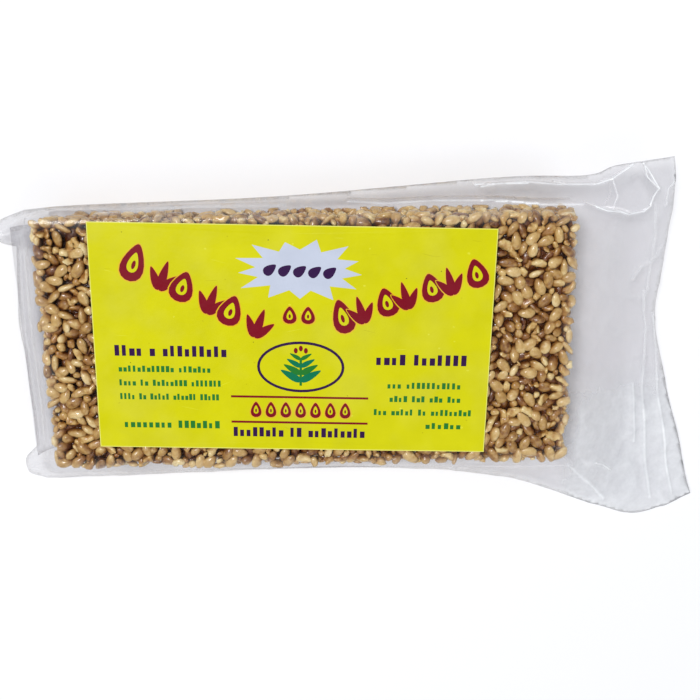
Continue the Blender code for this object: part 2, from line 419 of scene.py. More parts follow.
class Packing:
    """Seeds and grains pressed against the slab's faces until they lie beside each other."""

    def __init__(self, random_seed):
        self.rng = rng = np.random.default_rng(random_seed)
        self.centre = self.strewn()
        count = len(self.centre)
        self.kind = rng.choice(3, count, p=SHARES)
        self.size = np.choose(self.kind[:, None], [self.seed_sizes(count), *self.grain_sizes(count)])
        tilted = rng.random(count) < TILTED_SHARE
        self.roll = np.where(tilted, rng.uniform(*TILT, count), rng.normal(0, WOBBLE, count))
        self.reach = np.maximum(LEAST_REACH, (self.size[:, 2] - self.size[:, 0]) / 2 * ROD_SHARE)
        self.radius = self.size[:, 0] / 2 * ROD_SHARE
        lean = np.abs(np.sin(self.roll))
        self.thin = self.size[:, 1] / 2 * (1 - lean) + self.radius * lean
        self.normal = nearest_face(self.centre)[1]
        self.axis = self.headings(self.normal, LIES_ALONG)

    def headings(self, normal, share):
        """Random directions, brought nearer to the face's own plane by a share."""
        heading = self.rng.normal(size=normal.shape)
        return unit(heading - share * (heading * normal).sum(-1, keepdims=True) * normal)

    def bell(self, count, mean, spread, least, most):
        return self.rng.normal(mean, spread, count).clip(least, most)

    def seed_sizes(self, count):
        """Width, thickness and length of plump flattened seeds."""
        width = self.bell(count, *SEED_WIDTH)
        thickness = width * self.rng.uniform(*SEED_FLATNESS, count)
        length = self.bell(count, *SEED_LENGTH)
        return np.stack([width, thickness, length], 1)

    def grain_sizes(self, count):
        """The same for popped grains, like small beans, and for round unpopped ones."""
        uniform = self.rng.uniform
        width = uniform(*POPPED_WIDTH, count)[:, None]
        shares = [np.ones(count), uniform(*POPPED_FLATNESS, count), uniform(*POPPED_STRETCH, count)]
        plain = uniform(*ROUND_WIDTH, count)[:, None] * uniform(*ROUND_STRETCH, (count, 3))
        return width * np.stack(shares, 1), plain

    def strewn(self):
        """Points spread evenly through the layer below the faces, but not where the label hides them."""
        steps = [np.arange(-half + CELL / 2, half, CELL) for half in HALF]
        points = np.stack(np.meshgrid(*steps, indexing="ij"), -1).reshape(-1, 3)
        points += self.rng.uniform(-CELL / 2, CELL / 2, points.shape) + [0, 0, HALF[2]]
        depth, normal = nearest_face(points)
        return points[(depth < LAYER) & ~self.hidden(points, normal)]

    def hidden(self, points, normal):
        return in_label(points[:, 0], points[:, 1], HIDDEN_MARGIN) & (normal[:, 2] > 0)

    def near_pairs(self):
        tree = tree_of(self.centre)
        pairs = [
            (number, other)
            for number, point in enumerate(self.centre)
            for _, other, _ in tree.find_range(point, NEAR)
            if number < other
        ]
        return np.array(pairs).T

    def press_apart(self, rods, first, second):
        """Moves the balls of each pair of seeds apart by half of how much they overlap."""
        gap = rods[first][:, :, None] - rods[second][:, None]
        normal = self.normal[first][:, None, None]
        alike = (self.normal[first] * self.normal[second]).sum(-1) > 0.5
        flat = self.radius / self.thin
        stretch = np.where(alike, (flat[first] + flat[second]) / 2, 1.0)[:, None, None, None]
        gap = gap + (stretch - 1) * (gap * normal).sum(-1, keepdims=True) * normal
        distance = np.linalg.norm(gap, axis=-1, keepdims=True) + 1e-6
        balls = self.radius[:, None] * BALLS
        meet = (balls[first][:, :, None] + balls[second][:, None])[..., None]
        push = gap / distance * np.maximum(0, meet - distance) / 2
        push = push - (1 - 1 / stretch) * (push * normal).sum(-1, keepdims=True) * normal
        move = np.zeros_like(rods)
        np.add.at(move, first, push.sum(2))
        np.subtract.at(move, second, push.sum(1))
        return rods + EASE * move

    def keep_in(self, rods):
        """Keeps the balls inside the slab's faces, and in the layer below them."""
        balls = (self.radius[:, None] * BALLS)[..., None]
        facing = np.abs(self.normal)[:, None]
        margin = self.thin[:, None, None] * facing + balls * (1 - facing)
        middle = np.array([0, 0, (SEEDS_UNDER_Z + SEEDS_OVER_Z) / 2])
        reach = np.array([HALF[0], HALF[1], (SEEDS_OVER_Z - SEEDS_UNDER_Z) / 2]) + PRESSED - margin
        rods = np.clip(rods - middle, -reach, reach)
        out = (rods * self.normal[:, None]).sum(-1, keepdims=True)
        least = (HALF * facing).sum(-1, keepdims=True) - LAYER
        return rods + np.maximum(0, least - out) * self.normal[:, None] + middle

    def settle(self):
        for step in range(SETTLE_ROUNDS):
            if step % ROUNDS_PER_LIST == 0:
                first, second = self.near_pairs()
                self.normal = nearest_face(self.centre)[1]
            rods = self.keep_in(self.press_apart(self.rods(), first, second))
            self.centre = rods.mean(1)
            self.axis = unit(rods[:, 2] - rods[:, 0] + self.axis * 1e-6)

    def rods(self):
        """The three balls that each seed counts as."""
        return self.centre[:, None] + self.axis[:, None] * self.reach[:, None, None] * ENDS[:, None]

    def hole_spots(self):
        """Places just below the faces, and the outward normal at each."""
        spots, normals = [], []
        for axis in range(3):
            for side in (-1, 1):
                steps = [np.arange(-half + 0.6, half - 0.5, HOLE_STEP) for half in HALF]
                steps[axis] = np.array([side * (HALF[axis] - HOLE_DEPTH)])
                grid = np.stack(np.meshgrid(*steps, indexing="ij"), -1).reshape(-1, 3)
                spots.append(grid + [0, 0, HALF[2]])
                normals.append(np.eye(3)[[axis] * len(grid)] * side)
        spots, normals = np.concatenate(spots), np.concatenate(normals)
        shows = ~self.hidden(spots, normals)
        return spots[shows], normals[shows]

    def fill_holes(self):
        """Adds a small grain in each hole, the widest hole first."""
        spots, normals = self.hole_spots()
        balls = self.rods().reshape(-1, 3)
        radii = (self.radius[:, None] * BALLS).ravel()
        flat = np.repeat(self.radius / self.thin, 3)
        tree = tree_of(balls)
        near = np.array([[number for _, number, _ in tree.find_n(at, HOLE_NEIGHBOURS)] for at in spots])
        gap = balls[near] - spots[:, None]
        along = (gap * normals[:, None]).sum(-1, keepdims=True)
        gap = gap + (flat[near][..., None] - 1) * along * normals[:, None]
        room = (np.linalg.norm(gap, axis=-1) - radii[near]).min(1)
        taken = []
        for number in np.argsort(-room):
            if room[number] < HOLE_ROOM:
                break
            if all(np.linalg.norm(spots[number] - spots[n]) > room[number] + room[n] for n in taken):
                taken.append(number)
        count = len(taken)
        axis = self.headings(normals[taken], HOLE_LIES_ALONG)
        shares = np.stack([self.rng.uniform(low, high, count) for low, high in HOLE_GRAIN], 1)
        grains = {
            "centre": spots[taken] + self.rng.normal(0, HOLE_JITTER, (count, 3)),
            "normal": normals[taken],
            "axis": axis,
            "roll": np.zeros(count),
            "size": np.minimum(room[taken], HOLE_MOST)[:, None] * shares,
            "kind": self.rng.choice(3, count, p=HOLE_SHARES),
        }
        for name, values in grains.items():
            setattr(self, name, np.concatenate([getattr(self, name), values]))

    def turns(self):
        """Euler angles that bring a seed's width, thickness and length to their directions."""
        angles = []
        for axis, normal, roll in zip(self.axis, self.normal, self.roll):
            length = Vector(axis)
            flat = Vector(normal)
            flat = (flat - flat.dot(length) * length).normalized()
            flat.rotate(Matrix.Rotation(roll, 3, length))
            across = flat.cross(length)
            angles.append(Matrix((across, flat, length)).transposed().to_euler()[:])
        return np.array(angles)


def seed_tree(name, rings, sides, taper, bend, waist, lobes, waves, wave_size):
    """Sets one shape on every point: a drop or a bean, uneven, and pressed flat at the slab's faces."""
    group, given, out = new_group(
        name,
        "GeometryNodeTree",
        [
            ("Points", "NodeSocketGeometry", None),
            ("Rings", "NodeSocketInt", rings),
            ("Sides", "NodeSocketInt", sides),
            ("Taper", "NodeSocketFloat", taper),
            ("Bend", "NodeSocketFloat", bend),
            ("Waist", "NodeSocketFloat", waist),
            ("Lobes", "NodeSocketFloat", lobes),
            ("Unevenness", "NodeSocketFloat", waves * MM),
            ("Wave Size", "NodeSocketFloat", wave_size * MM),
            ("Low Corner", "NodeSocketVector", None),
            ("High Corner", "NodeSocketVector", None),
            ("Skin", "NodeSocketMaterial", None),
        ],
        [("Seeds", "NodeSocketGeometry")],
    )

    def calc(operation, a, b=0.0, c=None):
        node = add(group, "ShaderNodeMath", {0: a, 1: b}, operation=operation)
        if c is not None:
            node.inputs[2].default_value = c
        return node.outputs[0]

    def vector_math(operation, a, **others):
        keys = {"b": 1, "scale": "Scale"}
        inputs = {0: a, **{keys[key]: value for key, value in others.items()}}
        return add(group, "ShaderNodeVectorMath", inputs, operation=operation).outputs[0]

    def marked(geometry, label, value):
        inputs = {"Geometry": geometry, "Name": label, "Value": value}
        kinds = {"data_type": "FLOAT", "domain": "POINT"}
        return add(group, "GeometryNodeStoreNamedAttribute", inputs, **kinds).outputs[0]

    def moved(geometry, **places):
        inputs = {"Geometry": geometry, **{key.title(): value for key, value in places.items()}}
        return add(group, "GeometryNodeSetPosition", inputs).outputs[0]

    ball = add(
        group,
        "GeometryNodeMeshUVSphere",
        {"Segments": given.outputs["Sides"], "Rings": given.outputs["Rings"], "Radius": 0.5 * MM},
    ).outputs[0]
    place = add(group, "ShaderNodeSeparateXYZ", {0: add(group, "GeometryNodeInputPosition").outputs[0]})
    height = calc("MULTIPLY", place.outputs["Z"], 2 / MM)
    squared = calc("MULTIPLY", height, height)
    ball = marked(ball, "along", calc("MULTIPLY_ADD", height, 0.5, 0.5))
    ball = marked(ball, "flat", calc("ABSOLUTE", calc("MULTIPLY", place.outputs["Y"], 2 / MM)))

    narrowed = calc("SUBTRACT", 1.0, calc("MULTIPLY", height, given.outputs["Taper"]))
    pinch = calc("MULTIPLY", given.outputs["Waist"], calc("SUBTRACT", 1.0, calc("SQRT", squared)))
    angle = calc("ARCTAN2", place.outputs["Y"], place.outputs["X"])
    wound = calc("ADD", calc("MULTIPLY", angle, LOBES), calc("MULTIPLY", height, LOBE_TWIST))
    bulge = calc("MULTIPLY", given.outputs["Lobes"], calc("COSINE", wound))
    girth = calc("ADD", calc("SUBTRACT", narrowed, pinch), bulge)
    bowed = calc("MULTIPLY", calc("MULTIPLY", squared, given.outputs["Bend"]), MM)
    shaped = add(
        group,
        "ShaderNodeCombineXYZ",
        {
            "X": calc("ADD", calc("MULTIPLY", place.outputs["X"], girth), bowed),
            "Y": calc("MULTIPLY", place.outputs["Y"], girth),
            "Z": place.outputs["Z"],
        },
    ).outputs[0]
    drop = moved(ball, position=shaped)

    turn = add(group, "GeometryNodeInputNamedAttribute", {"Name": "turn"}, data_type="FLOAT_VECTOR")
    size = add(group, "GeometryNodeInputNamedAttribute", {"Name": "size"}, data_type="FLOAT_VECTOR")
    set_down = add(
        group,
        "GeometryNodeInstanceOnPoints",
        {
            "Points": given.outputs["Points"],
            "Instance": drop,
            "Rotation": add(group, "FunctionNodeEulerToRotation", {0: turn.outputs[0]}).outputs[0],
            "Scale": size.outputs[0],
        },
    ).outputs[0]
    seeds = add(group, "GeometryNodeRealizeInstances", {0: set_down}).outputs[0]
    here = add(group, "GeometryNodeInputPosition").outputs[0]
    scale = calc("DIVIDE", 1.0, given.outputs["Wave Size"])
    cloud = add(group, "ShaderNodeTexNoise", {"Vector": here, "Scale": scale, "Detail": 1.0})
    centred = vector_math("SUBTRACT", cloud.outputs["Color"], b=(0.5, 0.5, 0.5))
    seeds = moved(seeds, offset=vector_math("SCALE", centred, scale=given.outputs["Unevenness"]))
    inside = vector_math("MAXIMUM", here, b=given.outputs["Low Corner"])
    inside = vector_math("MINIMUM", inside, b=given.outputs["High Corner"])
    seeds = moved(seeds, position=inside)
    skinned = add(group, "GeometryNodeSetMaterial", {"Geometry": seeds, "Material": given.outputs["Skin"]})
    group.links.new(skinned.outputs[0], out.inputs[0])
    return group


def grown(name, tree, points, attributes, inputs):
    """Runs a geometry tree on points and keeps its result as a plain mesh."""
    carrier = mesh_object(name + "_points", points, [], inputs["Skin"], smooth=False)
    for label, (values, kind) in attributes.items():
        attribute(carrier.data, label, values, kind)
    modifier = carrier.modifiers.new("grow", "NODES")
    modifier.node_group = tree
    for socket in tree.interface.items_tree:
        if socket.name in inputs:
            modifier[socket.identifier] = inputs[socket.name]
    evaluated = carrier.evaluated_get(bpy.context.evaluated_depsgraph_get())
    mesh = bpy.data.meshes.new_from_object(evaluated)
    carrier.modifiers.remove(modifier)
    bpy.data.objects.remove(carrier)
    for label in ("turn", "size"):
        if label in mesh.attributes:
            mesh.attributes.remove(mesh.attributes[label])
    mesh.shade_smooth()
    mesh.name = name
    return placed(name, mesh)


def seeds():
    packing = Packing(11)
    packing.settle()
    packing.fill_holes()
    turns = packing.turns()
    rng = packing.rng
    tone = rng.beta(*TONE_SPREAD, len(turns))
    tone[rng.random(len(turns)) < DARK_SHARE] *= DARK
    drops, beans, rounds = (seed_tree(name, *shape) for name, shape in SHAPES.items())
    skin = seed_material("toasted_skin", TOASTED, TOASTED_FLAT, TOASTED_TIP)
    popped_skin = seed_material("popped_skin", POPPED, POPPED_FLAT, POPPED_TIP)
    is_seed = packing.kind == SEED
    kinds = (
        ("pale_seeds", is_seed & (tone > PALE_FROM), drops, skin),
        ("brown_seeds", is_seed & (tone <= PALE_FROM), drops, skin),
        ("popped_grains", packing.kind == POPPED_GRAIN, beans, popped_skin),
        ("round_grains", packing.kind == ROUND_GRAIN, rounds, popped_skin),
    )
    reach = (HALF + BULGE)[:2]
    low = ORIGIN + Vector((*-reach, SEEDS_UNDER_Z)) * MM
    high = ORIGIN + Vector((*reach, SEEDS_OVER_Z)) * MM
    for name, chosen, tree, material in kinds:
        piece = grown(
            name,
            tree,
            packing.centre[chosen],
            {
                "turn": (turns[chosen], "FLOAT_VECTOR"),
                "size": (packing.size[chosen], "FLOAT_VECTOR"),
                "tone": (tone[chosen], "FLOAT"),
            },
            {"Low Corner": low[:], "High Corner": high[:], "Skin": material},
        )
        # Each point's depth below the faces sets its syrup coat and painted shade.
        depth = nearest_face((vertex_places(piece.data) - ORIGIN) / MM)[0]
        attribute(piece.data, "sunk", np.clip(depth / SYRUP_AND_SHADE_DEPTH, 0, 1))
        finish_piece(piece, "slab")


# The block of syrup, in mm: how far it lies inside the slab, how high its lumps are, and its faces' size
CORE_INSET = (1.5, 1.5, 2.0)
LUMP = 0.42
LUMP_SEED = 5
CORE_STEP = 0.9


def core():
    """The set syrup and the seeds too deep to see, as one lumpy block inside the seeds."""
    half = HALF - CORE_INSET
    noise.seed_set(LUMP_SEED)
    counts = [max(2, round(2 * h / CORE_STEP)) for h in half]
    points, faces, numbers = [], [], {}

    def corner(key):
        if key not in numbers:
            at = Vector([(2 * k / n - 1) * h for k, n, h in zip(key, counts, half)])
            at.z += HALF[2]
            numbers[key] = len(points)
            points.append(at + noise.noise_vector(at * 0.75) * LUMP)
        return numbers[key]

    for axis in range(3):
        a, b = (axis + 1) % 3, (axis + 2) % 3
        for side in (0, counts[axis]):
            for i in range(counts[a]):
                for j in range(counts[b]):
                    loop = []
                    for da, db in ((0, 0), (1, 0), (1, 1), (0, 1)):
                        key = [0, 0, 0]
                        key[axis], key[a], key[b] = side, i + da, j + db
                        loop.append(corner(tuple(key)))
                    faces.append(loop if side else loop[::-1])
    piece = mesh_object("syrup_core", points, faces, syrup_material())
    finish_piece(piece, "slab")


# The label


YELLOW = tint(205, 202, 0)
PALE_YELLOW = tint(216, 214, 52)
DEEP_YELLOW = tint(190, 184, 0)
CUT_YELLOW = tint(228, 226, 112)
RED = tint(122, 0, 26)
HALO = tint(222, 178, 40)
PURPLE = tint(46, 12, 66)
GREEN = tint(34, 116, 44)
SEA_GREEN = tint(0, 112, 76)
WHITE = tint(190, 197, 214)
BLACK = tint(40, 28, 24)


def oval(x, y, width, height, turn=0.0, count=16, taper=0.0):
    """An oval's outline, turned about its middle, and narrowed above where it has a taper."""
    made = []
    for n in range(count):
        a = 2 * math.pi * n / count
        px, py = width / 2 * math.cos(a) * (1 - taper * math.sin(a)), height / 2 * math.sin(a)
        made.append(turned(px, py, turn, (x, y)))
    return made


def drop(x, y, width, height, turn=0.0):
    """A seed's outline, round below and pointed above."""
    return oval(x, y, width, height, turn, count=18, taper=0.45)


def bar(x, y, width, height):
    return [(x, y), (x + width, y), (x + width, y + height), (x, y + height)]


def burst(x, y, width, height):
    """A star of thirteen uneven points."""
    points = 13
    made = []
    for n in range(2 * points):
        a = math.pi * (n + 0.5) / points
        far = (1.0, 0.86, 0.95)[n % 3] if n % 2 else 0.62
        made.append((x + width / 2 * far * math.cos(a), y + height / 2 * far * math.sin(a)))
    return made


def ticks(x, y, width, height, words, colour, random_seed):
    """A line of print stood for by small blocks, so many to each word."""
    rng = np.random.default_rng(random_seed)
    pitch = width / (sum(words) + 0.8 * (len(words) - 1))
    for count in words:
        for _ in range(count):
            yield bar(x, y, pitch * rng.uniform(0.5, 0.76), height * rng.choice((0.7, 1.0))), colour
            x += pitch
        x += 0.8 * pitch


def open_seed(x, y, width, height, turn):
    """A seed drawn as an outline with a grain inside, in a faint halo."""
    yield drop(x, y, width + 0.45, height + 0.45, turn), HALO
    yield drop(x, y, width, height, turn), RED
    yield drop(x, y, 0.46 * width, 0.54 * height, turn), YELLOW
    yield oval(x, y - 0.06 * height, 0.18 * width, 0.24 * height, turn, 10), RED


def sprout(x, y, height, turn):
    """Three narrow leaves from one point, in a faint halo."""
    for grow, colour in ((0.4, HALO), (0.0, RED)):
        for lean, share in ((-0.62, 0.8), (0.62, 0.8), (0.0, 1.0)):
            tall = share * height
            a = turn + lean
            px, py = x - 0.5 * tall * math.sin(a), y - height / 2 + 0.5 * tall * math.cos(a)
            yield drop(px, py, 0.27 * height + grow, tall + grow, a), colour


def specks(count, width, height, colour, random_seed):
    """Small marks scattered over the paper."""
    rng = np.random.default_rng(random_seed)
    for u, v in rng.uniform(-0.46, 0.46, (count, 2)) * LABEL_SIZE:
        long, wide = width * rng.uniform(0.5, 1.4), height * rng.uniform(0.6, 1.2)
        yield oval(u, v, long, wide, rng.normal(0, 0.3), 6), colour


# Marks of wear: how many, their length and width in mm, colour and random seed
WEAR = (
    (22, 0.5, 0.4, PALE_YELLOW, 4),
    (14, 3.2, 0.1, PALE_YELLOW, 7),
    (16, 2.6, 0.1, DEEP_YELLOW, 9),
    (22, 0.34, 0.3, DEEP_YELLOW, 8),
    (11, 0.24, 0.2, BLACK, 5),
)

# Lines of small blocks: left end, foot, width and height in mm, blocks to each word, colour and random seed
UPPER_LINES = (
    (-35.2, -3.5, 22.5, 2.2, (4, 1, 9), PURPLE, 1),
    (16.6, -4.6, 18.5, 2.2, (4, 7), PURPLE, 2),
    (-34.6, -6.8, 18.5, 1.3, (12, 7), GREEN, 10),
    (-34.6, -9.7, 20.5, 1.3, (4, 2, 8, 7), GREEN, 11),
    (-34.6, -12.6, 20.0, 1.3, (4, 2, 5, 6, 5), GREEN, 12),
    (-34.0, -18.6, 19.5, 1.6, (8, 7), GREEN, 3),
    (19.0, -9.5, 15.0, 1.3, (3, 11), GREEN, 20),
    (19.5, -12.35, 14.5, 1.3, (4, 3, 3, 3), GREEN, 21),
    (16.4, -15.2, 20.0, 1.3, (3, 5, 2, 9), GREEN, 22),
    (27.0, -18.05, 7.5, 1.3, (6,), GREEN, 23),
)
LOWEST_LINE = (-12.0, -20.2, 27.0, 2.0, (8, 2, 9), PURPLE, 6)


def badge():
    """A pale burst with a slanting row of seeds."""
    yield burst(1.4, 14.2, 28.0, 13.0), WHITE
    for n in range(5):
        yield drop(-4.4 + 2.9 * n, 14.3 - 0.1 * n, 1.8, 2.9, -0.9), PURPLE


def garland():
    """A row of seeds and sprouts down to the middle, one up from it, and two small seeds between."""
    for n in range(6):
        x, y = -30.6 + 4.6 * n, 15.2 - 2.3 * n
        yield from sprout(x, y, 6.0, -0.35) if n % 2 else open_seed(x, y, 4.3, 6.2 + (n == 0) * 1.4, -0.35)
    for n in range(7):
        x, y = 9.8 + 4.3 * n, 5.2 + 1.5 * n
        yield from sprout(x, y, 5.6, 0.3) if n % 2 else open_seed(x, y, 4.0, 5.8 + (n == 0) * 1.2, 0.3)
    for n in range(2):
        yield from open_seed(-0.6 + 3.6 * n, 5.3, 2.5, 3.5, 0.0)


def sprig():
    """A leafy sprig with three buds in an oval frame."""
    yield oval(1.6, -5.3, 17.4, 10.6, 0.0, 40), PURPLE
    yield oval(1.6, -5.3, 16.3, 9.5, 0.0, 40), YELLOW
    yield bar(1.35, -9.2, 0.5, 5.4), GREEN
    for n in range(4):
        for side in (-1, 1):
            reach = 3.6 - 0.55 * n
            x, y = 1.6 + side * reach * 0.55, -8.2 + 1.5 * n
            yield drop(x, y + 0.3 * reach, 0.4 * reach, 1.3 * reach, -side * 1.05), (SEA_GREEN, GREEN)[n % 2]
    for n in range(3):
        yield oval(0.6 + n, -1.9 + 0.45 * (n == 1), 0.8, 1.2, 0.0, 10), RED


def ruled_row():
    """Seven seeds between two rules."""
    for y in (-11.9, -17.3):
        yield bar(-12.4, y, 27.6, 0.45), RED
    for n in range(7):
        yield from open_seed(-7.4 + 3.0 * n, -14.4, 2.0, 3.3, 0.0)


def print_fields():
    """[(outline, colour)] of the print, in mm from the label's middle. Later ones lie on earlier ones."""
    for marks in WEAR:
        yield from specks(*marks)
    yield from badge()
    yield from garland()
    for line in UPPER_LINES:
        yield from ticks(*line)
    yield from sprig()
    yield from ruled_row()
    yield from ticks(*LOWEST_LINE)


def paper_height(u, v):
    wave = Vector((u * 0.05, v * 0.07, 3.0))
    fold = 0.05 * math.sin(u / LABEL_SIZE[0] * 3 * math.pi) * math.cos(v / LABEL_SIZE[1] * math.pi)
    return LABEL_Z + 0.07 + fold + 0.07 * noise.noise(wave) + 0.012 * noise.noise(wave * 9)


def paper_material():
    material, tree, shader = principled("inked_paper", Specular_IOR_Level=0.15)
    look = {
        "Color": stored(tree, "ink", "Color"),
        "Value": patches(tree, 160.0, 0.95, 1.04),
        "Saturation": patches(tree, 90.0, 0.97, 1.03),
    }
    uneven = add(tree, "ShaderNodeHueSaturation", look)
    tree.links.new(uneven.outputs[0], shader.inputs["Base Color"])
    tree.links.new(patches(tree, 700.0, 0.36, 0.5), shader.inputs["Roughness"])
    roughen(tree, shader, 1300.0, 0.12, 0.0001)
    return material


def label():
    """The sheet, cut along the print so that each field is a set of faces of its own colour."""
    half_u, half_v = LABEL_SIZE[0] / 2, LABEL_SIZE[1] / 2
    inked_face = bar(CUT_EDGE - half_u, CUT_EDGE - half_v, *(side - 2 * CUT_EDGE for side in LABEL_SIZE))
    fields = [(bar(-half_u, -half_v, *LABEL_SIZE), CUT_YELLOW), (inked_face, YELLOW), *print_fields()]
    flat, loops = [], []
    for outline, _ in fields:
        loops.append(list(range(len(flat), len(flat) + len(outline))))
        flat += [Vector(p) for p in outline]
    columns, rows = int(LABEL_SIZE[0] / PAPER_STEP), int(LABEL_SIZE[1] / PAPER_STEP)
    across = [-half_u + i * LABEL_SIZE[0] / columns for i in range(1, columns)]
    up = [-half_v + j * LABEL_SIZE[1] / rows for j in range(1, rows)]
    flat += [Vector((u, v)) for u in across for v in up]
    flat += [Vector((u, side * half_v)) for u in across for side in (-1, 1)]
    flat += [Vector((side * half_u, v)) for v in up for side in (-1, 1)]
    corners, _, triangles, _, _, sources = delaunay_2d_cdt(flat, [], loops, 1, 1e-5)

    points, faces, colours = [], [], []
    for side in (PAPER, 0.0):
        for u, v in corners:
            points.append((*turned(u, v, LABEL_TURN, LABEL_CENTRE), paper_height(u, v) + side))
    under = len(corners)
    borders = {}
    for triangle, source in zip(triangles, sources):
        faces.append(tuple(triangle))
        colours.append(fields[max(source)][1])
        for a, b in zip(triangle, (*triangle[1:], triangle[0])):
            if (b, a) in borders:
                del borders[(b, a)]
            else:
                borders[(a, b)] = True
    for triangle in triangles:
        faces.append(tuple(under + n for n in reversed(triangle)))
        colours.append(WHITE)
    for a, b in borders:
        faces.append((b, a, under + a, under + b))
        colours.append(CUT_YELLOW)

    piece = mesh_object("label_sheet", points, faces, paper_material(), smooth=False)
    inked = piece.data.attributes.new("ink", "FLOAT_COLOR", "CORNER")
    corner_colours = [colours[face.index] for face in piece.data.polygons for _ in face.loop_indices]
    inked.data.foreach_set("color", np.ravel(corner_colours))
    finish_piece(piece, "label")


# The film


# The film's lie past the slab, in mm: its droop, the lift of its corner, the wedge of air between the sheets,
# half the gap where they lie together, and the ripple
FLAP_DROOP = 3.6
FLAP_REACH = 26
CORNER_CURL = 4.0
CURL_REACH = 24
WEDGE_REACH = 14
WEDGE_POWER = 1.25
FILM_HALF = 0.1
CLOSING = 1.2
RIPPLE = 0.55
RIPPLE_LENGTH = 17

# The net of points: its reach, its steps, how far points stay from the rim and from each other, and how far
# the fold over the slab's edge reaches in
NET_LOW = (-70, -45)
NET_SIZE = (160, 90)
RIM_STEP = 0.6
RIM_CLEAR = 0.4
LEAST_STEP = 0.12
LOOSE_STEP = 0.8
TIGHT_STEP = 1.2
FOLD_WIDTH = 0.4

# Soft relief in mm, and whiteness as a share: haze, and painted sheen. Ridges wander over the loose film,
# painted streaks of sheen run along the strips beside the slab, and pleats cross the film past its ends. A
# painted reflection lies over the slab's edge, painted light on the lower part of the wide end, and haze
# along the rim.
RIDGE_RISE, RIDGE_HAZE = 0.3, 0.1
PLEAT_RISE, PLEAT_HAZE = 0.12, 0.07
STREAK_SHEEN = 0.1
LOW_FLAP_LIGHT = 0.4
RIM_HAZE, RIM_HAZE_WIDTH = 0.08, 0.8
EDGE_SHEEN, EDGE_SHEEN_MIDDLE, EDGE_SHEEN_WIDTH = 0.13, -0.6, 2.4

# Sharp creases in the film: their points, how high they stand, how wide they are and how white, partly crease
# whitening and partly painted highlight
CREASES = (
    (((56.3, 26.4), (58.7, 25.5), (62.0, 25.0), (63.8, 24.4), (67.2, 24.8), (68.2, 25.9)), 0.5, 0.26, 1.0),
    (((68.2, 25.9), (68.5, 27.6), (69.2, 29.5), (66.5, 33.3), (65.5, 34.3)), 0.6, 0.24, 1.0),
    (((65.6, 34.2), (66.7, 31.7), (69.2, 29.3)), 0.4, 0.2, 0.8),
    (((65.5, 34.3), (64.1, 34.3), (59.8, 31.5), (56.7, 30.5)), 0.5, 0.24, 0.9),
    (((60.1, 26.3), (60.9, 28.2), (59.8, 31.5)), 0.25, 0.22, 0.5),
    (((71.9, 34.4), (72.6, 31.0), (71.3, 29.2), (71.5, 26.0)), 0.3, 0.3, 0.5),
    (((34.5, 30.3), (38.0, 30.8), (43.2, 31.1), (49.6, 30.5), (56.7, 30.5)), 0.25, 0.26, 0.6),
    (((8.5, 28.0), (15.4, 27.6), (25.4, 28.0), (34.3, 27.9)), 0.15, 0.3, 0.4),
    (((34.3, 27.9), (37.7, 28.0), (41.2, 27.6), (45.8, 27.1), (53.5, 27.0)), 0.25, 0.26, 0.55),
    # Short painted glints along the slab's upper edge and the outer fold
    (((36.9, 27.7), (38.9, 27.7)), 0.25, 0.22, 1.0),
    (((40.0, 27.6), (42.0, 27.6)), 0.25, 0.22, 1.0),
    (((42.6, 27.3), (44.8, 27.4)), 0.3, 0.25, 1.0),
    (((33.7, 30.7), (36.9, 30.8)), 0.25, 0.2, 0.8),
    (((39.3, 30.8), (43.5, 30.8)), 0.25, 0.22, 0.9),
    (((48.7, 31.0), (50.7, 30.7)), 0.2, 0.2, 0.6),
    (((-40.0, 26.6), (-22.0, 27.3), (-4.0, 27.4)), 0.15, 0.35, 0.2),
    (((66.6, 10.8), (68.0, 13.2), (71.1, 15.3), (72.2, 17.4)), 0.25, 0.8, 0.25),
    (((69.2, 8.3), (70.4, 0.3), (70.9, -13.5), (72.7, -27.8), (74.6, -38.5)), 0.25, 0.4, 0.3),
    (((71.9, 3.0), (72.7, -2.6), (74.5, -14.1), (77.5, -29.6), (79.6, -38.4)), 0.25, 0.35, 0.34),
    (((68.7, -12.0), (69.2, -17.8), (70.0, -25.4)), 0.2, 0.35, 0.25),
    (((60.6, -28.3), (62.6, -29.3), (64.6, -31.0)), 0.4, 0.24, 0.9),
    (((69.4, 26.0), (70.6, 20.0), (70.2, 12.0), (69.6, 4.0)), 0.2, 0.5, 0.2),
    (((53.4, -26.6), (56.9, -30.6), (59.8, -33.4), (63.4, -37.6)), 0.35, 0.5, 0.3),
    (((20.0, -27.1), (38.0, -27.4), (53.4, -26.6)), 0.2, 0.35, 0.35),
    (((-56.6, 18.0), (-57.3, 10.8), (-57.5, 2.4), (-57.2, -9.0), (-57.4, -21.0)), 0.25, 0.4, 0.22),
    (((-54.7, 23.0), (-55.3, 8.0), (-55.2, -10.0), (-55.6, -24.0)), 0.2, 0.5, 0.22),
    (((-52.8, 26.3), (-57.0, 25.0), (-61.5, 22.0)), 0.3, 0.35, 0.2),
    (((-53.0, 25.4), (-55.6, 22.5), (-56.4, 18.5)), 0.3, 0.3, 0.2),
    (((-52.8, -26.4), (-56.8, -27.2), (-60.6, -28.4)), 0.3, 0.3, 0.25),
    (((-53.0, -25.4), (-56.4, -24.4), (-59.4, -24.2)), 0.3, 0.3, 0.2),
)


def spline(points, count):
    """count points along a smooth curve through the given ones, the last one left out."""
    knots = [Vector(p) for p in points]
    lengths = [(b - a).length for a, b in zip(knots, knots[1:])]
    ends = [2 * knots[0] - knots[1], *knots, 2 * knots[-1] - knots[-2]]
    made = []
    for n in range(count):
        way = n / count * sum(lengths)
        span = 0
        while way > lengths[span]:
            way -= lengths[span]
            span += 1
        t = way / lengths[span]
        a, b, c, d = ends[span : span + 4]
        made.append(
            0.5 * (2 * b + (c - a) * t + (2 * a - 5 * b + 4 * c - d) * t * t + (3 * b - a - 3 * c + d) * t**3)
        )
    return made


